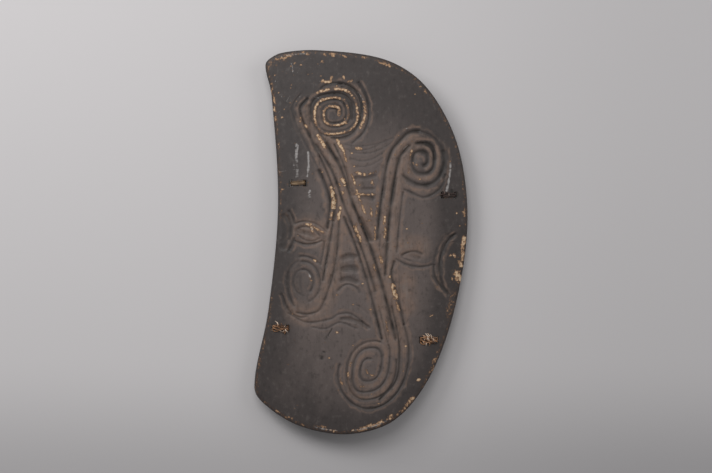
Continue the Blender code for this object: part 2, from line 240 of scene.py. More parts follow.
# Each strap has one main groove, from its upper end down. Its other grooves keep a distance from that one.
LONG_STRAP = [(-155, 380), (-110, 310), (-60, 225), (-25, 120), (20, 10), (65, -130), (110, -310)]
TURNING_EDGE = [(-165, 450), (-190, 410), (-150, 310), (-105, 215), (-80, 135), (-85, 75), (-120, -125)]
LOWER_LEFT_STRAP = [(-65, 110), (-80, -65), (-125, -205), (-165, -225), (-205, -220)]
SHORT_STRAP = [(155, 305), (120, 260), (100, 160), (85, 40), (75, -110)]
STRAP_WIDTH = 42
SHORT_STRAP_HALF = 32

# The gouged lines, as (width, depth, path): a coil at each end of the two straps that cross, the straps' own
# edges, and the figures between them.
GOUGES = [
    (5, 3.0, flanking(crest(-20, 790), 6.5)),
    (5, 3.0, flanking(crest(-20, 790), -6.5)),
    (5, 3.0, flanking(outer_crest(-70, 50), 6.5)),
    (8, 3.6, np.vstack([coil("upper_left", BETWEEN_CRESTS, 330, 515), beside(LONG_STRAP, 380, 310)])),
    (6, 2.0, coil("upper_left_edge", 78, 134, 86)),
    (7, 4.4, coil("upper_left_edge", 78, 92, -104)),
    (6, 3.2, [(-10, 500), (15, 455), (25, 400), (10, 345), (-30, 305)]),
    (7, 4.2, TURNING_EDGE),
    (7, 3.5, LOWER_LEFT_STRAP),
    (9, 5.2, np.vstack([beside(SHORT_STRAP, 303, -2, -SHORT_STRAP_HALF)[::-1],
                        coil("upper_right_edge", 72, 102, 60)])),
    (6, 1.6, coil("upper_right_edge", 72, 64, -10)),
    (10, 4.5, coil("upper_right_edge", 72, -4, -165)),
    (11, 6.4, SHORT_STRAP),
    (9, 5.4, [(105, -55), (95, -100), (105, -140), (125, -215), (135, -265)]),
    (6, 2.8, [(265, 215), (250, 170), (200, 140), (145, 160), (130, 165)]),
    (10, 5.6, coil("upper_right", 18, -96, 481)),
    (7, 3.8, [(95, -195), (110, -265), (120, -345), (110, -430), (55, -495)]),
    (6, 3.0, coil("lower_right_outer", 159, 30, -185)),
    (6, 3.0, coil("lower_right_edge", 64, 82, 391)),
    (6, 2.7, coil("lower_right", 12, 82, 781)),
    (6, 2.6, [(-250, -160), (-225, -215), (-190, -235), (-165, -230)]),
    (6, 2.4, [(-230, -220), (-170, -250), (-95, -240), (-70, -225), (-30, -225), (30, -270)]),
    (5, 1.8, [(-155, -265), (-110, -270), (-65, -250), (-25, -265), (-10, -270)]),
    (4, 1.4, [(-10, -240), (20, -265)]),
    (4, 0.9, swag((-15, -195), (25, -225), -3)),
    (4, 0.8, swag((-55, 305), (100, 325), 15)),
    (4, 0.8, swag((-50, 290), (60, 305), 12)),
    (4, 0.9, swag((-40, 285), (95, 310), 20)),
    (4, 0.8, swag((-30, 260), (75, 285), 18)),
    (4, 0.8, swag((-30, 240), (70, 265), 16)),
    (6, 2.5, swag((-75, -155), (0, -160), -26)),
    (4, 1.5, swag((-50, -130), (-5, -145), -2)),
    (5, 2.4, swag((-210, 55), (-105, 30), -20)),
    (5, 2.2, swag((-200, 40), (-125, 15), -18)),
    (5, 2.0, swag((-200, 25), (-125, 15), 17)),
    (6, 3.0, swag((-210, 5), (-120, 5), 12)),
    (6, 3.0, swag((125, -45), (195, -40), -13)),
    (5, 2.0, swag((125, -45), (160, -60), 2)),
    (6, 3.2, swag((105, -50), (225, -70), 16))]

# Those beside a strap's main groove: (width, depth, upper and lower height, distance, last distance).
for strap, lines in (
        (LONG_STRAP, ((8, 4.4, 325, -155, -30, -26), (5, 2.2, -190, -310, -27), (11, 6.4, 315, -310),
                      (4, 6.0, 270, 90), (7, 3.5, 300, 160, 20, 3), (9, 3.0, 75, -5, 2, 10),
                      (8, 4.8, 100, -300, -STRAP_WIDTH))),
        (TURNING_EDGE, ((4, 1.2, 450, 235, -26, -20), (9, 5.6, 240, 30, -20, -14), (5, 2.5, 5, -80, -15))),
        (LOWER_LEFT_STRAP, ((5, 2.0, -100, -135, -6),)),
        (SHORT_STRAP, ((5, 2.5, 190, 125, -26), (4, 1.6, 95, 57, -25), (5, 2.0, 25, -20, -23),
                       (5, 2.5, 207, 130, 6), (6, 3.0, 165, -35, SHORT_STRAP_HALF)))):
    GOUGES += [(width, depth, beside(strap, *line)) for width, depth, *line in lines]

# Those that are parts of oval rings: (width, depth, radius, stretch, first and last angle).
for centre, turns in (
        (LOWER_LEFT_COIL, ((6, 2.6, 67, 1.2, 104, 45), (6, 2.6, 53, 1.21, 100, -75),
                           (6, 2.8, 31, 1.26, 105, -55), (6, 0.8, 9, 4.5, 150, 250),
                           (6, 0.8, 30, 1.0, 190, 240), (7, 3.0, 50, 1.85, 158, 238),
                           (5, 1.3, 31, 1.3, 105, 260), (5, 1.3, 53, 1.3, 105, 175))),
        (LEFT_RING, ((7, 3.5, 73, 1.28, 44, 10), (7, 3.5, 73, 1.28, -12, -46), (7, 3.0, 61, 1.26, 40, -25))),
        (RIGHT_RING, ((7, 3.8, 84, 1.37, 112, 230), (7, 3.5, 103, 0.9, 172, 238),
                      (6, 1.0, 103, 1.2, 175, 120)))):
    GOUGES += [(width, depth, oval(centre, *turn)) for width, depth, *turn in turns]

# Ground cut back flat beside the lines, as (half width, depth, path).
SUNK = [
    (6, 1.6, coil("upper_left", BETWEEN_CRESTS, 60, 480)),
    (14, 1.2, beside(TURNING_EDGE, 430, 315, 17)),
    (9, 2.2, beside(LONG_STRAP, 225, 145, 8)),
    (10, 3.0, beside(LONG_STRAP, 70, 0, 3, 9)),
    (7, 3.0, beside(TURNING_EDGE, 145, 65, 1)),
    (36, 2.4, [(320, 5), (305, -75), (310, -155)]),
    (14, 2.2, [(-240, 75), (-235, 30), (-240, -15)]),
    (9, 2.0, [(-200, 35), (-150, 20)]),
    (8, 1.8, swag((130, -40), (180, -50), -3)),
    (9, 3.4, swag((-55, -50), (-20, -45), -2)),
    (10, 3.4, swag((-55, -85), (-15, -85), -3)),
    (9, 3.4, swag((-60, -120), (-15, -125), -5)),
    (7, 3.2, swag((-60, -240), (20, -265), -8)),
    (7, 3.0, swag((-15, 200), (40, 205), 4)),
    (7, 3.0, [(5, 165), (35, 165)]),
    (9, 3.4, [(5, 140), (35, 135)]),
    (26, 1.2, [(10, 185), (15, 135)]),
    (16, 1.2, [(25, 125), (35, 55)]),
]


def even(path):
    """Points at equal lengths along a path, both ends included, as a function of the share of its length."""
    lengths = np.concatenate([[0], np.cumsum(np.linalg.norm(np.diff(path, axis=0), axis=1))])
    shares = lengths / lengths[-1]
    return lambda at: np.stack([np.interp(at, shares, path[:, k]) for k in (0, 1)], axis=-1)


def four_sides(line):
    """The closed line cut at its four corners, as functions of the share of each side's length:
    bottom and top from left to right, left and right from bottom to top."""
    cuts = [np.argmin(np.linalg.norm(line - corner, axis=1)) for corner in CORNERS]
    sides = []
    for first, last in zip(cuts, cuts[1:] + cuts[:1]):
        count = (last - first) % len(line)
        sides.append(line[(first + np.arange(count + 1)) % len(line)])
    bottom, right, top, left = sides
    return even(bottom), even(top[::-1]), even(left[::-1]), even(right)


bottom_side, top_side, left_side, right_side = four_sides(outline_inset(RIM_BAND))


def spanned(u, v):
    """A sheet stretched between the four sides: the two blends of facing sides, less that of the corners."""
    blend_u, blend_v = u[..., None], v[..., None]
    between = bottom_side(u) * (1 - blend_v) + top_side(u) * blend_v
    across = left_side(v) * (1 - blend_u) + right_side(v) * blend_u
    corners = ((bottom_side(0) * (1 - blend_u) + bottom_side(1) * blend_u) * (1 - blend_v)
               + (top_side(0) * (1 - blend_u) + top_side(1) * blend_u) * blend_v)
    return between + across - corners


CROWDING = 2.6                  # how much closer columns stand on the carving than on plain wood
CARVED_WITHIN = 8               # distance from a gouged line that counts as carving
PLAIN_BEYOND = 60               # and that counts as plain


def crowded_columns():
    """Where each row's columns stand: close together on the carving, wide apart on the plain wood.
    Along each row a running total of the closeness wanted is shared out evenly."""
    u, v = np.meshgrid(np.linspace(0, 1, 121), np.linspace(0, 1, 161))
    places = spanned(u, v).reshape(-1, 2)
    away = np.full(len(places), float(PLAIN_BEYOND))
    for width, depth, path in GOUGES:
        near, gap, from_end = nearest(places, path, PLAIN_BEYOND)
        away[near] = np.minimum(away[near], gap)
    wanted = (1 + CROWDING * (1 - ease(CARVED_WITHIN, PLAIN_BEYOND, away))).reshape(u.shape)
    total = np.cumsum((wanted[:, 1:] + wanted[:, :-1]) / 2, axis=1)
    total = np.hstack([np.zeros((len(total), 1)), total])
    total /= total[:, -1:]
    steps = np.linspace(0, 1, COLUMNS + 1)
    rows = np.stack([np.interp(steps, row, u[0]) for row in total])
    fine = np.linspace(0, 1, ROWS + 1)
    return np.stack([np.interp(fine, v[:, 0], column) for column in rows.T], axis=1), fine


columns, row_shares = crowded_columns()
grid = spanned(columns, np.broadcast_to(row_shares[:, None], columns.shape))


def border(cells):
    """The numbers of a grid's edge points, once round anticlockwise from its first corner."""
    return np.concatenate([cells[0, :-1], cells[:-1, -1], cells[-1, :0:-1], cells[:0:-1, 0]])


def squares(cells):
    """The quads of a grid of point numbers, facing up."""
    return np.stack([cells[:-1, :-1], cells[:-1, 1:], cells[1:, 1:], cells[1:, :-1]], axis=-1).reshape(-1, 4)


def belt(loops):
    """The quads between loops of point numbers, each loop closed."""
    ahead = np.roll(loops, -1, axis=1)
    return np.stack([loops[:-1], loops[1:], ahead[1:], ahead[:-1]], axis=-1).reshape(-1, 4)


face_numbers = np.arange(grid.shape[0] * grid.shape[1]).reshape(grid.shape[:2])
face_loop = border(face_numbers)
loop = grid.reshape(-1, 2)[face_loop]
ahead = np.roll(loop, -3, axis=0) - np.roll(loop, 3, axis=0)
outward = -leftward(ahead)

# The rim's section, from the face over to the back, as (distance in from the edge, height from the face):
# a slope, a round over to the edge, and a smaller round under to the back.
SLOPED = 0.43                   # share of the rim's fall that is done where it starts to round over
bend = np.radians([20, 45, 70, 90])
face_round = np.column_stack([RIM_ROUND * (1 - np.sin(bend)),
                              -RIM_FALL * (SLOPED + (1 - SLOPED) * bend / bend[-1])
                              - RIM_ROUND * (1 - np.cos(bend))])
face_section = np.vstack([[(12.5, -RIM_FALL * 0.05), (9, -RIM_FALL * 0.19), (RIM_ROUND, -RIM_FALL * SLOPED)],
                          face_round])
bend = np.radians([0, 30, 60, 90])
back_round = np.column_stack([BACK_ROUND * (1 - np.cos(bend)), -THICKNESS + BACK_ROUND * (1 - np.sin(bend))])
back_section = np.vstack([(0, -THICKNESS + BACK_ROUND + 1), back_round, (RIM_BAND, -THICKNESS)])
coarse = slice(None, None, COARSER)


def swept(line, normals, section):
    """The rim's section carried round a loop, which is moved outwards by what is left of the band."""
    out = (RIM_BAND - section[:, :1])[:, :, None]
    return line[None] + normals[None] * out, np.broadcast_to(section[:, 1:], (len(section), len(line)))


face_rim, face_rim_height = swept(loop, outward, face_section)
back_rim, back_rim_height = swept(loop[coarse], outward[coarse], back_section)
back_grid = grid[coarse, coarse]
inner_back = back_grid[1:-1, 1:-1]
places = np.vstack([grid.reshape(-1, 2), face_rim.reshape(-1, 2), back_rim.reshape(-1, 2),
                    inner_back.reshape(-1, 2)])
heights = np.concatenate([np.zeros(face_numbers.size), face_rim_height.ravel(), back_rim_height.ravel(),
                          np.full(inner_back[..., 0].size, -float(THICKNESS))])
face_count = face_numbers.size + face_rim_height.size

face_loops = face_numbers.size + np.arange(face_rim_height.size).reshape(face_rim_height.shape)
back_loops = face_count + np.arange(back_rim_height.size).reshape(back_rim_height.shape)
back_numbers = np.zeros(back_grid.shape[:2], int)
back_numbers[1:-1, 1:-1] = (face_count + back_loops.size
                            + np.arange(inner_back[..., 0].size).reshape(inner_back.shape[:2]))
long_side, short_side = back_numbers.shape[0] - 1, back_numbers.shape[1] - 1
back_numbers[0, :-1], back_numbers[:-1, -1], back_numbers[-1, :0:-1], back_numbers[:0:-1, 0] = np.split(
    back_loops[-1], np.cumsum([short_side, long_side, short_side]))

# Each coarse step of the wall meets several fine steps of the face's rim: a fan of triangles joins them.
fine_loop, coarse_loop = face_loops[-1], back_loops[0]
fine_steps = fine_loop.reshape(-1, COARSER)
next_fine = np.roll(fine_loop, -1).reshape(-1, COARSER)
hubs = np.repeat(coarse_loop[:, None], COARSER, axis=1)
fan = np.stack([fine_steps, hubs, next_fine], axis=-1).reshape(-1, 3)
close = np.stack([next_fine[:, -1], coarse_loop, np.roll(coarse_loop, -1)], axis=-1)


def raised(field, near, value):
    """Lifts a field to at least this value at these points."""
    field[near] = np.maximum(field[near], value)


def flank(away, half_width, power):
    """1 on a line, falling to 0 this far from it."""
    return np.clip(1 - away / half_width, 0, 1) ** power


# Across a gouged line a sharp groove stands in a wide soft dip: each takes its share of the depth. Both
# are measured in the line's own width, run out at its ends, and stray and vary in depth a little.
GROOVE_SHARE, GROOVE_HALF = 0.7, 0.85
DIP_SHARE, DIP_HALF = 0.4, 2.5
LINE_REACH = 2.6                # distance at which a line is left out of account
RUNOUT = 1.2                    # length over which a line fades out at each end
gouged, rounded, hollow, ridge, sunk = np.zeros((5, len(places)))
firmness = 0.7 + 0.55 * mottle(*places.T, 26, 4)
straying = 0.7 * (mottle(*places.T, 16, 3) - 0.5)
for width, depth, path in GOUGES:
    near, away, from_end = nearest(places[:face_count], path, LINE_REACH * width)
    runout = ease(0, 1, from_end / (RUNOUT * width) + 0.25) * firmness[near]
    away = away / width * (1 + straying[near])
    raised(gouged, near, GROOVE_SHARE * depth * runout * flank(away, GROOVE_HALF, 1.2))
    raised(rounded, near, DIP_SHARE * depth * runout * flank(away, DIP_HALF, 1.7))
    # The groove is painted dark: grime, and painted shade that deepens with the groove.
    raised(hollow, near, 0.9 * runout * np.clip(1.15 - away / 0.6, 0, 1) * min(1, 0.15 + depth / 5.5))
    # The shoulders beside a groove are painted lighter and warmer: worn wood, and painted highlight.
    shoulder = np.clip((away - 0.9) / 0.5, 0, 1) * np.clip((2.4 - away) / 0.9, 0, 1)
    raised(ridge, near, shoulder * runout * min(1, depth / 4))
for half_width, depth, path in SUNK:
    near, away, from_end = nearest(places[:face_count], path, 1.5 * half_width)
    share = 1 - ease(0.35, 1.3, away / half_width * (1 + 0.8 * straying[near]))
    raised(sunk, near, depth * share)
    # Sunk ground is painted darker: grime, and painted shade.
    raised(hollow, near, min(0.5, depth / 9) * share * firmness[near])
broken = 0.6 * mottle(*places.T, 5, 31) + 0.4 * mottle(*places.T, 2.4, 32)


def rubbed_along(field, width, strength, *paths):
    """Adds a soft band to a field: full strength on the path, none at half the width away, faded at its
    ends."""
    for path in paths:
        near, away, from_end = nearest(places[:face_count], path, width / 2)
        fade = ease(0, 0.5 * width + 1, from_end + 0.5 * width)
        raised(field, near, strength * fade * (1 - (2 * away / width) ** 2))


def worn_along(width, strength, *paths):
    """A ragged rub through the soot along these paths, with a stained fringe about twice as wide round it."""
    rub, fringe = np.zeros((2, len(places)))
    rubbed_along(rub, 1.45 * width, 1.0, *paths)
    rubbed_along(fringe, 2.6 * width, 1.0, *paths)
    torn = np.clip(0.15 + 1.85 * broken, 0.1, 1.25)
    bare[:] = np.maximum(bare, np.maximum(strength * rub * torn, 0.3 * fringe * (0.5 + broken)))


# The wear fields: wood rubbed bare, brown wood showing through, dry grey scratches, cracks, and how near
# the middle of the board a place is, which the finish turns into painted sheen there and painted shade
# towards the top and right.
bare, haze, chalk, crack, middle = np.zeros((5, len(places)))
u_shares, v_shares = columns.ravel(), np.repeat(row_shares, COLUMNS + 1)
middle[:len(u_shares)] = (1 - np.abs(2 * u_shares - 1) ** 2.6) * (1 - np.abs(2 * v_shares - 1) ** 4)

# The upper left coil's ridge is worn through in stretches, given in degrees.
for strength, stretches in ((0.55, ((320, 420), (560, 600), (730, 760))),
                            (0.9, ((40, 90), (160, 320), (420, 460), (600, 690))),
                            (1.1, ((90, 160), (460, 560), (690, 730), (760, 800), (815, 840)))):
    worn_along(5 + 2.5 * strength, strength, *[crest(start, end) for start, end in stretches])
worn_along(10, 1.05, crest(-20, 50))
worn_along(9, 0.9, outer_crest(-55, -5))
rubbed_along(chalk, 9, 0.6, outer_crest(0, 20))

# Rubs on the ridges beside the straps' grooves: (distance from the strap's main groove, upper and lower
# height, width, strength).
for strap, rubs in (
        (LONG_STRAP, ((-9, 340, 300, 10, 1.0), (-8, 200, 180, 10, 1.3), (-22, 190, 180, 8, 0.9),
                      (-20, 165, 155, 9, 0.9), (24, 205, 80, 6, 0.95), (-22, 60, 10, 9, 0.9),
                      (20, -50, -70, 9, 1.1), (-8, -65, -85, 8, 0.8), (31, -140, -185, 12, 1.15),
                      (30, -190, -225, 8, 0.85), (-17, -240, -280, 7, 0.6))),
        (TURNING_EDGE, ((-6, 175, 155, 10, 1.0), (-6, 155, 105, 13, 1.45), (-9, 90, 70, 8, 0.9),
                        (14, 110, 75, 9, 1.3))),
        (SHORT_STRAP, ((-15, 80, 55, 8, 0.95), (-9, 45, 10, 7, 0.8), (14, -105, -120, 8, 0.95)))):
    for gap, top, bottom, width, strength in rubs:
        worn_along(width, strength, beside(strap, top, bottom, gap))

# Rubs on the figures between the straps, and on the coils.
worn_along(10, 1.25, [(-74, 316), (-64, 300)])
worn_along(7, 0.95, [(-62, 300), (-52, 272), (-46, 250)])
worn_along(9, 1.0, [(-15, 215), (10, 210)], [(35, 190), (35, 180)], [(-15, 292), (0, 290)])
worn_along(7, 0.8, swag((10, 210), (45, 220), 3), swag((-15, 150), (40, 148), 1), [(30, 115), (32, 80)],
           [(44, 50), (42, 8)], [(52, 122), (48, 80)])
worn_along(10, 0.6, [(-20, 55), (0, 55)], [(20, 68), (30, 68)], [(-40, 500), (-25, 502)])
worn_along(8, 1.0, swag((-120, 505), (-95, 500), 4), [(-95, 500), (-90, 515)], [(-55, 515), (-52, 508)])
worn_along(8, 1.0, [(-190, 388), (-188, 378)], [(-175, 365), (-170, 358)])
worn_along(9, 1.1, [(-170, 55), (-158, 54)], [(-153, 46), (-150, 34)])
worn_along(7, 0.85, [(-150, 48), (-115, 28)], [(-148, -55), (-140, -60)])
worn_along(6, 0.7, [(-165, -100), (-158, -110), (-155, -122)])
worn_along(6, 0.75, [(15, -395), (20, -408)], [(28, -415), (38, -415)], [(0, -450), (10, -452)])
worn_along(7, 0.8, [(-30, -375), (-34, -385)], [(-40, -408), (-40, -416)], [(-66, -428), (-60, -442)])
worn_along(7, 0.85, [(158, 285), (152, 265)], [(165, 245), (175, 240)], [(150, 228), (148, 218)])
worn_along(12, 1.0, [(325, 15), (319, -20), (321, -55)], [(312, -62), (316, -76)])
worn_along(21, 1.15, [(299, -98), (310, -118)])
worn_along(7, 0.9, [(278, -42), (282, -42)], [(288, -38), (298, -48)], [(284, -112), (286, -118)])

# The rim is rubbed all round, and scuffed through in strokes strewn between two bearings from the board's
# middle, each along the rim's own direction: (bearings, number of strokes, inset, width, strength).
rubbed_along(bare, 16, 0.38, rim(75, 165, 9), rim(-60, 75, 8), rim(-150, -60, 7))
rubbed_along(chalk, 9, 0.75, rim(-104, -97, 12), rim(-93, -81, 12), rim(106, 114, 12))
strewn = np.random.default_rng(8)
for start, end, strokes, inset, width, strength in (
        (-118, -116, 2, 12, 7, 0.9), (-114, -104, 5, 12, 6, 0.6), (-104, -97, 5, 14, 7, 0.95),
        (-93, -80, 28, 13, 7, 0.9), (-84, -80, 4, 20, 8, 0.85), (-78, -71, 12, 11, 9, 1.0),
        (-65, -53, 8, 8, 7, 0.7), (-42, -30, 6, 12, 6, 0.6), (-15, 5, 6, 8, 7, 0.7), (12, 18, 4, 7, 10, 0.8),
        (66, 72, 3, 10, 6, 0.6), (77, 90, 9, 12, 6, 0.75), (94, 103, 9, 11, 7, 0.8),
        (105, 118, 22, 12, 6, 0.85), (117, 126, 10, 8, 7, 0.9)):
    for bearing in strewn.uniform(start, end, strokes):
        stretch = rim(bearing - 2, bearing + 2, max(3, inset + strewn.normal(0, 3)))
        centre, run = stretch.mean(axis=0), stretch[-1] - stretch[0]
        half_stroke = run / np.linalg.norm(run) * strewn.uniform(1, 8)
        worn_along(width * strewn.uniform(0.7, 1.1), strength * strewn.uniform(0.7, 1.1),
                   [centre - half_stroke, centre + half_stroke])

# Chips and knocks: the larger ones where they show, as (x, y, width, strength), and small ones strewn, many
# of them over the upper left corner. The wood round each lashing is rubbed too.
STREWN_KNOCKS = 70
CORNER_KNOCKS = 45
knocks = [(180, -430, 11, 1.2), (220, -230, 9, 1.1), (265, 140, 9, 1.0), (-245, 390, 8, 0.9),
          (140, -325, 8, 0.9), (-75, -282, 8, 1.0), (-75, -165, 8, 0.9), (30, -210, 8, 0.85),
          (-25, -195, 7, 0.8), (300, 90, 9, 0.95), (310, 50, 8, 0.7), (105, -15, 7, 0.7), (-25, -322, 7, 0.7),
          (55, -503, 7, 0.7), (-120, 562, 12, 0.8), (185, 485, 7, 0.8)]
for number in range(STREWN_KNOCKS):
    x, y = strewn.uniform((-250, -560), (310, 560))
    knocks.append((x, y, strewn.uniform(5, 8), strewn.uniform(0.4, 0.85)))
for number in range(CORNER_KNOCKS):
    x, y = -270 + 190 * strewn.random() ** 1.4, 575 - 150 * strewn.random() ** 1.6
    knocks.append((x, y, strewn.uniform(5, 8), strewn.uniform(0.35, 0.7)))
for x, y, width, strength in knocks:
    rubbed_along(bare, width, 1.3 * strength, [(x - 1.5, y), (x + 1.5, y)])
for (tie_x, tie_y), span in TIES.values():
    rubbed_along(bare, 38, 0.44, [(tie_x - span / 2, tie_y), (tie_x + span / 2, tie_y)])

# Brown wood shows faintly through the soot on the straps and round the middle.
for width, strength, path in ((110, 0.8, LONG_STRAP), (90, 0.7, SHORT_STRAP),
                              (110, 0.8, [(-165, 40), (-120, 20)]), (90, 0.7, LOWER_LEFT_STRAP),
                              (90, 0.9, [(135, -120), (140, -200)]), (90, 0.8, [(125, -10), (185, -15)]),
                              (60, 0.9, [(10, 120), (30, 10)]), (60, 0.9, [(85, -90), (90, -140)])):
    rubbed_along(haze, width, strength, path)
rubbed_along(haze, 13, 0.9, coil("lower_right", 24, 90, 720), coil("upper_right", 30, -60, 400))
rubbed_along(bare, 46, 0.42, [(290, -160), (278, -230)], [(-270, 560), (-240, 575)])

# Dry grey scratches, most of them along the grain, and strewn short ones over the upper left corner.
CORNER_SCRATCHES = 26
rubbed_along(chalk, 12, 1.0, [(-165, 280), (-163, 245), (-168, 205)], [(-160, 160), (-162, 138)])
rubbed_along(chalk, 14, 0.8, [(280, 245), (277, 205), (268, 160)], [(-202, 305), (-198, 300)])
rubbed_along(chalk, 18, 0.85, [(-200, 300), (-203, 250), (-200, 205)])
rubbed_along(chalk, 7, 0.8, [(-220, 560), (-214, 550), (-213, 530)], [(-262, 518), (-256, 510)])
rubbed_along(chalk, 8, 1.0, [(-153, 44), (-151, 36)], [(-164, -100), (-158, -110)])
rubbed_along(chalk, 6, 0.6, [(145, 302), (130, 287)], [(122, 350), (157, 357)],
             [(-258, 219), (-220, 225)], [(-255, 465), (-240, 445), (-225, 435)])
for number in range(CORNER_SCRATCHES):
    x, y = -275 + 150 * strewn.random() ** 1.3, 580 - 190 * strewn.random() ** 1.5
    turn, length = strewn.uniform(0, np.pi), strewn.uniform(8, 26)
    rubbed_along(chalk, 5, strewn.uniform(0.35, 0.65),
                 swag((x, y), (x + length * np.cos(turn), y + length * np.sin(turn)), strewn.uniform(-3, 3)))
chalk *= 0.4 + broken

# Holes broken out beside the upper right lashing, and cracks along the grain low on the left: dented, and
# painted dark as grime and painted shade.
rubbed_along(crack, 15, 0.9, [(301, 152), (302, 144)], [(284, 160), (285, 152)])
rubbed_along(crack, 5, 1.0, [(-90, -270), (-112, -305)], [(-115, -340), (-123, -365)])

# Painted shade: the face is darker towards the top and the right.
middle -= 0.5 * ease(150, 480, places[:, 1]) + 0.65 * ease(180, 310, places[:, 0])

# The face is dressed with a blade, along the grain, and the back more coarsely.
CRACK_DEPTH = 1.5
x, y = places.T                 # places and heights are in millimetres
dressed = 0.5 * mottle(x, y / 3, 22, 11) + 0.25 * mottle(x, y / 2, 9, 12) + 0.12 * mottle(x, y, 4, 13)
back_dressed = 1.6 * mottle(x * 1.4, y / 3, 30, 21) + 0.5 * mottle(x, y / 2, 12, 22)
on_face = np.arange(len(places)) < face_count
flat_back = ~on_face & (heights < -THICKNESS + 0.01)
heights = heights + np.where(on_face, -gouged - rounded - sunk - dressed - CRACK_DEPTH * crack, 0)
heights = heights + np.where(flat_back, back_dressed, 0)
heights = heights + THICKNESS + BACK_EDGE + crown(x)


def placed(name, data):
    """A new object with this mesh, light or camera, in the scene."""
    made = bpy.data.objects.new(name, data)
    bpy.context.scene.collection.objects.link(made)
    return made


def keep_at_points(mesh, name, values):
    """Stores one number, or one vector, for each of the mesh's points."""
    kind, key = ("FLOAT", "value") if values.ndim == 1 else ("FLOAT_VECTOR", "vector")
    mesh.attributes.new(name, kind, "POINT").data.foreach_set(key, values.astype(np.float32).ravel())


board_mesh = bpy.data.meshes.new("carved_board")
quads = np.vstack([squares(face_numbers), belt(np.vstack([face_loop, face_loops])), belt(back_loops),
                   squares(back_numbers)[:, ::-1]])
board_mesh.from_pydata(np.column_stack([places, heights]) * MM, [],
                       quads.tolist() + np.vstack([fan, close]).tolist())
wear_and_painted_light = {"hollow": hollow, "ridge": ridge * (1 - hollow), "bare": bare, "haze": haze, "chalk": chalk,
        "crack": crack, "middle": middle}
for name, values in wear_and_painted_light.items():
    keep_at_points(board_mesh, name, values)
board_mesh.shade_smooth()
board = placed("carved_board", board_mesh)

# The slots and the flat seat are cut out with boxes, each given as (size, centre).
SLOT_CUTTER, SEAT_CUTTER = 60, 20       # heights of the boxes
boxes = [((*SLOT, SLOT_CUTTER), (x, y, BACK_EDGE + crown(x) + THICKNESS / 2)) for x, y in SLOTS]
seat_across, seat_along, seat_depth = SEAT
boxes.append(((seat_across, seat_along, SEAT_CUTTER),
              (0, 0, BACK_EDGE + CROWN + seat_depth - SEAT_CUTTER / 2)))
box_corners = np.array([(i, j, k) for i in (-1, 1) for j in (-1, 1) for k in (-1, 1)]) / 2
box_sides = np.array([(0, 1, 3, 2), (4, 6, 7, 5), (0, 4, 5, 1), (2, 3, 7, 6), (0, 2, 6, 4), (1, 5, 7, 3)])
cutter_mesh = bpy.data.meshes.new("cutters")
cutter_mesh.from_pydata(np.vstack([box_corners * size + centre for size, centre in boxes]) * MM, [],
                        np.vstack([box_sides + 8 * number for number in range(len(boxes))]).tolist())
cutter = placed("cutters", cutter_mesh)
cutting = board.modifiers.new("slots_and_seat", "BOOLEAN")
cutting.object = cutter
cutting.operation = "DIFFERENCE"
cutting.solver = "MANIFOLD"
cut_board = bpy.data.meshes.new_from_object(board.evaluated_get(bpy.context.evaluated_depsgraph_get()))
board.modifiers.clear()
board.data = cut_board
bpy.data.objects.remove(cutter)

# The slots and the seat keep sharp edges, and the slots are painted black inside and round their mouths, as
# painted shade.
SHARP_ANGLE = 55                # degrees between two faces, beyond which their edge stays sharp
SLOT_MARGIN = 1                 # width of the black edge round a slot
cut_board.set_sharp_from_angle(angle=math.radians(SHARP_ANGLE))
at = np.empty(len(cut_board.vertices) * 3, np.float32)
cut_board.vertices.foreach_get("co", at)
at = at.reshape(-1, 3) / MM
dark = np.empty(len(at), np.float32)
cut_board.attributes["hollow"].data.foreach_get("value", dark)
for place in SLOTS:
    dark[(np.abs(at[:, :2] - place) < np.array(SLOT) / 2 + SLOT_MARGIN).all(axis=1)] = 1
cut_board.attributes["hollow"].data.foreach_set("value", dark)


def node(tree, kind, inputs=None, **settings):
    """A new shader node with its settings, each of its inputs set to a value or linked from a socket."""
    made = tree.nodes.new(kind)
    for name, value in settings.items():
        setattr(made, name, value)
    for key, value in (inputs or {}).items():
        if isinstance(value, bpy.types.NodeSocket):
            tree.links.new(value, made.inputs[key])
        else:
            made.inputs[key].default_value = value
    return made


def noise(place, scale, detail, roughness, stretch=(1, 1, 1)):
    """Noise on these coordinates, squeezed by these factors along x, y and z."""
    mapped = node(place.id_data, "ShaderNodeMapping", {"Vector": place, "Scale": stretch})
    made = node(place.id_data, "ShaderNodeTexNoise", {"Vector": mapped.outputs[0], "Scale": scale,
                                                      "Detail": detail, "Roughness": roughness})
    return made.outputs["Fac"]


def ranged(value, low, high, to_low=0.0, to_high=1.0):
    """A value eased from one range to another."""
    return node(value.id_data, "ShaderNodeMapRange", {"Value": value, "From Min": low, "From Max": high,
                                                      "To Min": to_low, "To Max": to_high},
                interpolation_type="SMOOTHSTEP").outputs[0]


def blended(share, first, second):
    """Two colours mixed by a share."""
    return node(share.id_data, "ShaderNodeMix", {0: share, 6: first, 7: second}, data_type="RGBA").outputs[2]


def times(first, second):
    """The product of a value and another one."""
    return node(first.id_data, "ShaderNodeMath", {0: first, 1: second}, operation="MULTIPLY").outputs[0]


def plus(first, second):
    """The sum of a value and another one."""
    return node(first.id_data, "ShaderNodeMath", {0: first, 1: second}, operation="ADD").outputs[0]


def about_half(value, reach):
    """A noise value as a swing to both sides of 0."""
    return times(plus(value, -0.5), reach)


def finish(name):
    """A new material, its node tree and the object's own coordinates."""
    material = bpy.data.materials.new(name)
    material.use_nodes = True
    tree = material.node_tree
    return material, tree, node(tree, "ShaderNodeTexCoord").outputs["Object"]


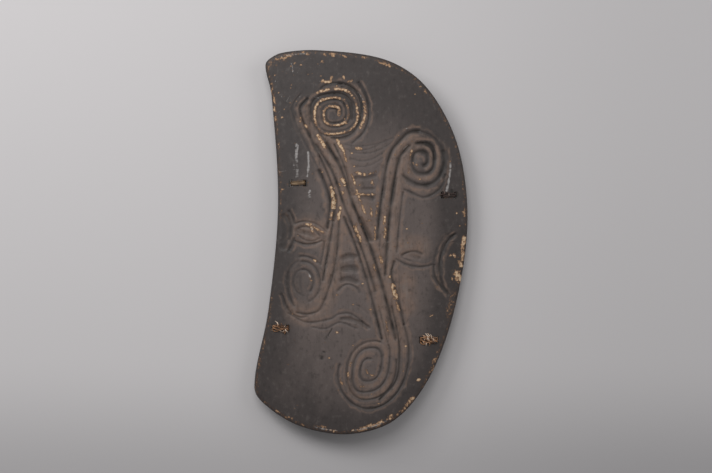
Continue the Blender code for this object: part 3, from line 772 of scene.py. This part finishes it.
def applied(tree, colour, roughness, relief, strength, distance):
    """Joins a finish's colour, roughness and fine relief to its shader, with a low gloss."""
    shader = tree.nodes["Principled BSDF"]
    bump = node(tree, "ShaderNodeBump", {"Height": relief, "Strength": strength, "Distance": distance})
    for name, socket in (("Base Color", colour), ("Roughness", roughness), ("Normal", bump.outputs[0])):
        tree.links.new(socket, shader.inputs[name])
    shader.inputs["Specular IOR Level"].default_value = 0.4


SOOT = (0.043, 0.034, 0.032, 1)
# Lighter soot for the board's middle: painted sheen, and handling.
SOOT_WORN_AND_SHEEN = (0.118, 0.092, 0.084, 1)
SOOT_WARM = (0.200, 0.130, 0.097, 1)
# Near black: grime, and painted shade in the grooves, slots and cracks.
GRIME_AND_SHADE = (0.014, 0.011, 0.009, 1)
DUST = (0.19, 0.165, 0.15, 1)
STAIN = (0.080, 0.045, 0.029, 1)
BARE_WOOD = (0.355, 0.21, 0.117, 1)
BARE_PALE = (0.60, 0.44, 0.29, 1)
CHALK = (0.32, 0.30, 0.29, 1)


def sooted_wood():
    """Soot and oil on wood, in layers, worn through to bare wood where the fields say so. Its middle is
    lighter, painted sheen and handling; its top and right darker, painted shade; its grooves, cracks and
    slots dark, grime and painted shade.
    """
    material, tree, place = finish("sooted_hardwood")
    field = {name: node(tree, "ShaderNodeAttribute", attribute_name=name).outputs["Fac"] for name in wear_and_painted_light}
    patches = noise(place, 9, 6, 0.65, (1, 0.7, 1))
    grain = noise(place, 150, 5, 0.6, (1, 0.05, 1))
    streaks = noise(place, 60, 4, 0.65, (1, 0.16, 1))
    specks = noise(place, 320, 3, 0.6)
    flakes = noise(place, 170, 3, 0.6, (1, 0.8, 1))
    blotches = noise(place, 45, 3, 0.6)
    clouds = noise(place, 75, 4, 0.6, (1, 0.7, 1))
    tears = noise(place, 120, 4, 0.65)
    dry = noise(place, 260, 3, 0.6, (1, 0.2, 1))
    # Painted sheen, and handling: the soot is lighter towards the board's middle; the field also carries
    # painted shade towards the top and right.
    sheen_and_handling = ranged(plus(field["middle"], about_half(patches, 0.9)), 0.05, 1.1)
    ragged = plus(times(flakes, 0.65), times(blotches, 0.35))
    worn = plus(times(field["bare"], ranged(tears, 0.34, 0.62, 0.45, 1.1)), about_half(ragged, 1.9))
    shown = ranged(worn, 0.4, 0.75)
    colour = blended(sheen_and_handling, SOOT, SOOT_WORN_AND_SHEEN)
    for share, layer in (
            (times(field["haze"], ranged(blotches, 0.25, 0.75, 0.35, 0.9)), SOOT_WARM),
            # Worn wood and painted highlight on the groove shoulders.
            (times(field["ridge"], ranged(blotches, 0.3, 0.7, 0.25, 0.85)), SOOT_WARM),
            (times(field["haze"], ranged(streaks, 0.5, 0.72, 0.0, 0.45)), DUST),
            (times(field["haze"], ranged(streaks, 0.46, 0.3, 0.0, 0.5)), GRIME_AND_SHADE),
            (ranged(clouds, 0.54, 0.72, 0.0, 0.17), DUST),
            (ranged(clouds, 0.48, 0.28, 0.0, 0.4), GRIME_AND_SHADE),
            (ranged(grain, 0.5, 0.8, 0.0, 0.2), GRIME_AND_SHADE),
            (ranged(specks, 0.58, 0.78, 0.0, 0.12), DUST),
            (ranged(specks, 0.42, 0.25, 0.0, 0.22), GRIME_AND_SHADE),
            # Grime and painted shade in the grooves, on sunk ground and in the slots.
            (times(field["hollow"], ranged(flakes, 0.2, 0.5, 0.75, 1.0)), GRIME_AND_SHADE),
            (ranged(worn, 0.22, 0.45, 0.0, 0.8), STAIN),
            (shown, BARE_WOOD),
            (ranged(worn, 0.72, 1.12), BARE_PALE),
            (times(ranged(plus(field["chalk"], dry), 0.9, 1.35), 0.9), CHALK),
            # Grime and painted shade in the holes and cracks.
            (field["crack"], GRIME_AND_SHADE)):
        colour = blended(share, colour, layer)
    rough = plus(ranged(patches, 0.3, 0.7, 0.52, 0.62), times(shown, 0.2))
    applied(tree, colour, rough, plus(times(grain, 0.6), times(specks, 0.4)), 0.35, 0.001)
    return material


board.data.materials.clear()
board.data.materials.append(sooted_wood())
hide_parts("shield_board")
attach(board, "root")


# The two grips: canes steamed and bent, tied flat to the back at both ends and standing a hand's depth
# off it between them. The board lies on them. Each keeps its joints.

GRIP_RADIUS = 9
GRIP_RADIUS_BETWEEN = 8.6       # a cane is thinner between its joints
GRIP_END = 24                   # length past each lashing
GRIP_TIED = 14                  # length beside each lashing that lies against the back
GRIP_BEND = 78                  # length over which the cane leaves the back
GRIP_AXIS = 1.045               # distance of the tied cane's axis from the back, in its own radii
GRIP_GAP = 0.4
JOINT_STEP = 131                # from one joint of the cane to the next
FIRST_JOINT = 0.6               # where the first one stands, as a share of that step
JOINT_SWELL = 5                 # half the length over which a joint swells
JOINT_PINCH = (4, 1.6, 1.2)     # how far past it the cane is pinched, half its length, and how strongly
GRIP_SIDES = 20


def unit(vectors):
    """These vectors at length 1."""
    return vectors / np.linalg.norm(vectors, axis=1)[:, None]


def tube(line, across, up, radius, sides):
    """Rings of points round a line, each spanned by two directions there, and the angles of their points."""
    angle = np.linspace(0, 2 * np.pi, sides, endpoint=False)
    spokes = across[:, None] * np.cos(angle)[None, :, None] + up[:, None] * np.sin(angle)[None, :, None]
    return line[:, None] + radius[:, None, None] * spokes, angle


def grain_of(angle, along, number=0):
    """The grain's own measures on a tube: two that go round it, and one that goes along it."""
    return np.stack(np.broadcast_arrays(np.cos(angle)[None] + number, np.sin(angle)[None],
                                        along[:, None]), axis=-1)


def carried(name, rings, fibre, closed=False, paleness=0.0):
    """A tube mesh from an array of rings of points: quads from ring to ring, the ends closed with one
    face each unless the tube runs back into itself."""
    numbers = np.arange(rings[..., 0].size).reshape(rings.shape[:2])
    if closed:
        numbers = np.vstack([numbers, numbers[:1]])
    turned = np.roll(numbers, -1, axis=1)
    faces = np.stack([numbers[:-1], turned[:-1], turned[1:], numbers[1:]], axis=-1).reshape(-1, 4).tolist()
    if not closed:
        faces += [numbers[0, ::-1].tolist(), numbers[-1].tolist()]
    mesh = bpy.data.meshes.new(name)
    mesh.from_pydata(rings.reshape(-1, 3) * MM, [], faces)
    keep_at_points(mesh, "fibre", fibre)
    keep_at_points(mesh, "paleness", np.full(rings[..., 0].size, paleness))
    mesh.shade_smooth()
    return mesh


def grip(side):
    """A round section carried down the cane's bent line, swelling at each joint and pinched just past it.
    The line's height eases from the back's, at the lashings, to the cane's own radius above the ground."""
    top, foot = (np.array(TIES[f"{level}_{side}"][0], float) for level in ("upper", "lower"))
    length = np.linalg.norm(foot - top)
    ahead = (foot - top) / length
    along_cane = np.linspace(-GRIP_END, length + GRIP_END, round(length / 3))
    tied = [BACK_EDGE + crown(end[0]) - GRIP_AXIS * GRIP_RADIUS - GRIP_GAP for end in (top, foot)]
    first = along_cane < length / 2
    away = np.where(first, along_cane, length - along_cane)
    high = np.where(first, *tied)
    height = high + (GRIP_RADIUS - high) * ease(0, 1, (away - GRIP_TIED) / GRIP_BEND)
    line = np.column_stack([top + along_cane[:, None] * ahead, height])
    tangent = unit(np.gradient(line, axis=0))
    across = np.broadcast_to([-ahead[1], ahead[0], 0], tangent.shape)
    from_joint = (along_cane + (1 - FIRST_JOINT) * JOINT_STEP + JOINT_STEP / 2) % JOINT_STEP - JOINT_STEP / 2
    past, half_pinch, pinch = JOINT_PINCH
    swelling = (np.exp(-(from_joint / JOINT_SWELL) ** 2)
                - pinch * np.exp(-((from_joint - past) / half_pinch) ** 2))
    radius = GRIP_RADIUS_BETWEEN + (GRIP_RADIUS - GRIP_RADIUS_BETWEEN) * swelling
    rounded = np.minimum(along_cane + GRIP_END, length + GRIP_END - along_cane)
    radius = radius * np.sqrt(np.clip(0.62 + rounded / 8, 0, 1))
    rings, angle = tube(line, across, np.cross(tangent, across), radius, GRIP_SIDES)
    return carried("grip_" + side, rings, grain_of(angle, from_joint / JOINT_STEP))


def cane_material(name, pale, dark, roughness, fibres, bleached=None):
    """Cane: fine fibres along its length over slow changes of tone. Strands with more paleness are
    bleached, and those with less are darker."""
    material, tree, place = finish(name)
    fibre = node(tree, "ShaderNodeAttribute", attribute_name="fibre").outputs["Vector"]
    lines = noise(fibre, fibres, 4, 0.6, (1, 1, 0.12))
    tone = noise(place, 30, 4, 0.6)
    mixed = plus(times(lines, 0.55), times(tone, 0.45))
    colour = blended(ranged(mixed, 0.36, 0.62), dark, pale)
    if bleached:
        paleness = node(tree, "ShaderNodeAttribute", attribute_name="paleness").outputs["Fac"]
        share = plus(paleness, about_half(mixed, 1.6))
        colour = blended(ranged(share, 0.5, 0.95), colour, bleached)
        colour = blended(ranged(share, 0.4, 0.05, 0.0, 0.85), colour, dark)
    colour = blended(ranged(noise(place, 500, 2, 0.5), 0.6, 0.75, 0.0, 0.5), colour, GRIME_AND_SHADE)
    applied(tree, colour, ranged(tone, 0.3, 0.7, roughness - 0.08, roughness + 0.1), lines, 0.4, 0.0006)
    return material


peeled_cane = cane_material("peeled_cane", (0.30, 0.165, 0.075, 1), (0.10, 0.052, 0.028, 1), 0.48, 5)
for side in ("left", "right"):
    cane_mesh = grip(side)
    cane_mesh.materials.append(peeled_cane)
    cane = placed("cane_grip_" + side, cane_mesh)
    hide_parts("grip_" + side)
    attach(cane, "root")


# The four lashings: strands of split cane that pass over the face, down through a pair of slots and
# under a grip. Use has blackened one, and split and frayed the two lower ones.

LASHING_OVER = THICKNESS + 1.9  # a strand's middle over the face, measured from the back
LASHING_UNDER = -2 * GRIP_RADIUS - 2.4          # and its middle under the grip
STRAND_THICK = 2.2
STRAND_SIDES = 10
SLOT_FILL = (3.3, 9.4)          # half the slot's width and length that the strands fill between them
FACE_CORNER = 2.6               # how far in from the slot a strand has come up over the face

# The strands of each lashing, as (middle across the band, width, bulge over the face, how far it slants
# across the band, paleness).
STRANDS = {
    "upper_left": [(-4.2, 4.6, 0.8, 1.5, 0.1), (0.2, 5.0, 1.5, 2.0, 0.5), (4.8, 4.4, 0.9, 1.0, 0.15)],
    "upper_right": [(-5.0, 3.6, 0.2, 1.0, 0.1), (-1.2, 4.0, 0.9, -1.5, 0.2), (2.8, 3.6, 0.2, 1.0, 0.1),
                    (6.0, 3.0, 0.4, -1.0, 0.15)],
    "lower_left": [(-6.0, 2.6, 0.6, 6.0, 0.3), (-3.6, 3.0, 2.4, -5.0, 0.5), (-1.0, 2.8, 0.9, 4.0, 0.0),
                   (1.2, 3.0, 3.0, -6.0, 0.5), (3.8, 2.6, 1.0, 5.0, 0.3), (6.2, 2.4, 1.8, -7.0, 0.15)],
    "lower_right": [(-7.0, 3.0, 0.8, 8.0, 0.4), (-4.6, 3.2, 2.8, -7.0, 0.5), (-2.0, 2.8, 1.2, 6.0, 0.0),
                    (0.6, 3.2, 3.4, -8.0, 0.55), (3.0, 2.8, 1.4, 9.0, 0.1), (5.4, 3.0, 3.0, -6.0, 0.3),
                    (7.4, 2.6, 0.8, 7.0, 0.6)]}

# How far each lashing's strands have sprung out of line, and how many broken ends stand out of it.
SPRUNG = {"upper_left": 0.1, "upper_right": 0.35, "lower_left": 1.2, "lower_right": 1.7}
BROKEN_ENDS = {"upper_left": 0, "upper_right": 5, "lower_left": 14, "lower_right": 28}
END_SIDES = 8
END_PALENESS = (0.0, 0.3, 0.6, 0.85, 1.1)       # each end has one of these


def strand(tie, number, offset, width, bulge, slant):
    """An oval section carried round a closed loop through both slots: over the face, where it bulges,
    slants and wanders sideways by a slow wave, and under the grip. In a slot it swells until the band
    fills the slot. The board's crown raises the loop."""
    (tie_x, tie_y), span = TIES[tie]
    half, foot = span / 2 + (0.6 if number % 2 else -0.4), GRIP_RADIUS * 0.75
    over, under = LASHING_OVER, LASHING_UNDER
    loop_points = smooth([(-half, over - 2.4), (FACE_CORNER - half, over + 0.2), (-half * 0.4, over + bulge),
                          (half * 0.4, over + bulge * 0.8), (half - FACE_CORNER, over + 0.2),
                          (half, over - 2.4), (half, 3), (half, -1), (foot + 4, under + 5),
                          (foot, under + 0.6), (-foot, under + 0.6), (-foot - 4, under + 5), (-half, -1),
                          (-half, 3)], closed=True, step=1.6)
    across, up = loop_points[:, :1], loop_points[:, 1:]
    tangent = unit(np.roll(loop_points, -1, axis=0) - np.roll(loop_points, 1, axis=0))
    share = np.arange(len(loop_points)) / len(loop_points)
    wave = 2 * np.pi * share
    turn = 2 * np.pi * number
    on_face = ease(over - 6, over - 1, up[:, 0])
    sway = SPRUNG[tie] * on_face
    wander = 2.2 * sway * np.sin(3 * wave + 0.37 * turn) * (1 if number % 2 else -1)
    twist = 0.5 * sway * np.sin(2 * wave + 0.23 * turn)
    angle = np.linspace(0, 2 * np.pi, STRAND_SIDES, endpoint=False)
    in_slot = (ease(over - 2.5, over - 6, up[:, 0]) * ease(-3, 0, up[:, 0]))[:, None]
    reach = max(abs(other[0]) + other[1] / 2 for other in STRANDS[tie])
    spread = 1 + (SLOT_FILL[1] / reach - 1) * in_slot
    thicker = 1 + (2 * SLOT_FILL[0] / STRAND_THICK - 1) * in_slot
    wide, thick = np.cos(angle) * width / 2 * spread, np.sin(angle) * STRAND_THICK / 2 * thicker
    wide, thick = (wide * np.cos(twist)[:, None] - thick * np.sin(twist)[:, None],
                   wide * np.sin(twist)[:, None] + thick * np.cos(twist)[:, None])
    x = tie_x + across + tangent[:, 1:] * thick
    y = tie_y + offset * spread + (wander + slant * on_face * across[:, 0] / span)[:, None] + wide
    z = up - tangent[:, :1] * thick + BACK_EDGE + crown(x)
    return np.stack([x, y, z], axis=-1), grain_of(angle, 6 * share, number)


def broken_end(tie, number, chance):
    """A snapped strand: a tube that leaves the band over the face, curls up and aside, and tapers off.
    Most of them point up or down the board."""
    (tie_x, tie_y), span = TIES[tie]
    turn = chance.normal(1.57, 0.55) * (-1 if number % 2 else 1)
    length, curl = chance.uniform(9, 19), chance.uniform(-1.4, 1.4)
    share = np.linspace(0, 1, 12)
    bearing = turn + curl * share
    x = tie_x + chance.uniform(-0.42, 0.42) * span + length * np.cumsum(np.cos(bearing)) / len(share)
    y = tie_y + chance.uniform(-8, 8) + length * np.cumsum(np.sin(bearing)) / len(share)
    z = BACK_EDGE + crown(x) + THICKNESS + 1.6 + chance.uniform(0.5, 3.6) * np.sin(np.pi * share)
    line = np.column_stack([x, y, z])
    tangent = unit(np.gradient(line, axis=0))
    across = unit(np.cross(tangent, [0, 0, 1]))
    radius = chance.uniform(1.1, 2.3) * (1 - 0.65 * share**2)
    rings, angle = tube(line, across, np.cross(across, tangent), radius, END_SIDES)
    return rings, grain_of(angle, share, number)


def joined(name, meshes):
    """Several meshes as one."""
    gathered = bmesh.new()
    for mesh in meshes:
        gathered.from_mesh(mesh)
        bpy.data.meshes.remove(mesh)
    whole = bpy.data.meshes.new(name)
    gathered.to_mesh(whole)
    gathered.free()
    return whole


golden_cane = cane_material("golden_split_cane", (0.22, 0.135, 0.068, 1), (0.035, 0.020, 0.012, 1), 0.5, 3,
                            (0.52, 0.40, 0.27, 1))
frayed_cane = cane_material("frayed_split_cane", (0.45, 0.225, 0.105, 1), (0.040, 0.018, 0.010, 1), 0.6, 3,
                            (0.68, 0.54, 0.43, 1))
sooted_cane = cane_material("sooted_split_cane", (0.085, 0.047, 0.038, 1), (0.022, 0.014, 0.012, 1), 0.6, 3,
                            (0.36, 0.28, 0.24, 1))
LASHING_FINISH = {"upper_left": golden_cane, "upper_right": sooted_cane,
                  "lower_left": frayed_cane, "lower_right": frayed_cane}

for tie, strands in STRANDS.items():
    meshes = []
    chance = np.random.default_rng(len(strands))
    for number, (offset, width, bulge, slant, paleness) in enumerate(strands):
        rings, fibre = strand(tie, number, offset, width, bulge, slant)
        meshes.append(carried("strand", rings, fibre, closed=True, paleness=paleness))
    for number in range(BROKEN_ENDS[tie]):
        rings, fibre = broken_end(tie, number, chance)
        meshes.append(carried("end", rings, fibre, paleness=float(chance.choice(END_PALENESS))))
    lashing_mesh = joined("lashing_" + tie, meshes)
    lashing_mesh.materials.append(LASHING_FINISH[tie])
    lashing = placed("lashing_" + tie, lashing_mesh)
    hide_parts("tie_" + tie)
    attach(lashing, "root")


# The stage: a sheet of pale paper, in more shade towards its near edge and its right, under three soft
# boxes and seen from straight above.
PAPER_HALF = 6                  # half the width of the sheet
FACE_LEVEL = 0.075              # height of the middle of the board's face
CAMERA_ABOVE_FACE = 5.0
VIEW_WIDTH = 2.225              # how much the camera sees at that level, from side to side
PAPER_LIT = (0.60, 0.581, 0.587, 1)
PAPER_SHADED = (0.40, 0.388, 0.395, 1)
floor_mesh = bpy.data.meshes.new("floor")
floor_mesh.from_pydata([(PAPER_HALF * i, PAPER_HALF * j, 0) for i, j in ((-1, -1), (1, -1), (1, 1), (-1, 1))],
                       [], [(0, 1, 2, 3)])
floor = placed("floor", floor_mesh)
paper, paper_tree, place = finish("pale_paper")
spot = node(paper_tree, "ShaderNodeSeparateXYZ", {"Vector": place})
shade = plus(ranged(spot.outputs["Y"], -0.35, -0.8, 0.0, 0.72),
             ranged(spot.outputs["X"], -0.3, 1.0, 0.0, 0.35))
paper_shader = paper_tree.nodes["Principled BSDF"]
paper_tree.links.new(blended(shade, PAPER_LIT, PAPER_SHADED), paper_shader.inputs["Base Color"])
paper_shader.inputs["Roughness"].default_value = 0.9
paper_shader.inputs["Specular IOR Level"].default_value = 0.1
floor_mesh.materials.append(paper)


def area_light(name, place, aim, size, power):
    """A square soft box that faces its aim."""
    light = bpy.data.lights.new(name, "AREA")
    light.size = size
    light.energy = power
    lamp = placed(name, light)
    lamp.location = place
    lamp.rotation_euler = (Vector(aim) - Vector(place)).to_track_quat("-Z", "Y").to_euler()


area_light("softbox_left", (-2.4, 2.0, 2.6), (0, 0.1, 0), 1.8, 64)
area_light("softbox_right", (2.8, 0.9, 2.4), (0.2, 0, 0), 2.2, 23)
area_light("softbox_above", (-0.4, 2.2, 4.0), (0, 0.3, 0), 2.2, 64)

world = bpy.data.worlds.new("studio")
world.use_nodes = True
world.node_tree.nodes["Background"].inputs["Color"].default_value = (1, 1, 1, 1)
world.node_tree.nodes["Background"].inputs["Strength"].default_value = 0.24
bpy.context.scene.world = world

camera = bpy.data.cameras.new("camera")
camera.sensor_width = 36
camera.lens = camera.sensor_width * CAMERA_ABOVE_FACE / VIEW_WIDTH
eye = placed("camera", camera)
eye.location = (-0.0156, 0.0172, CAMERA_ABOVE_FACE + FACE_LEVEL)
bpy.context.scene.camera = eye
bpy.context.scene.view_settings.view_transform = "Standard"
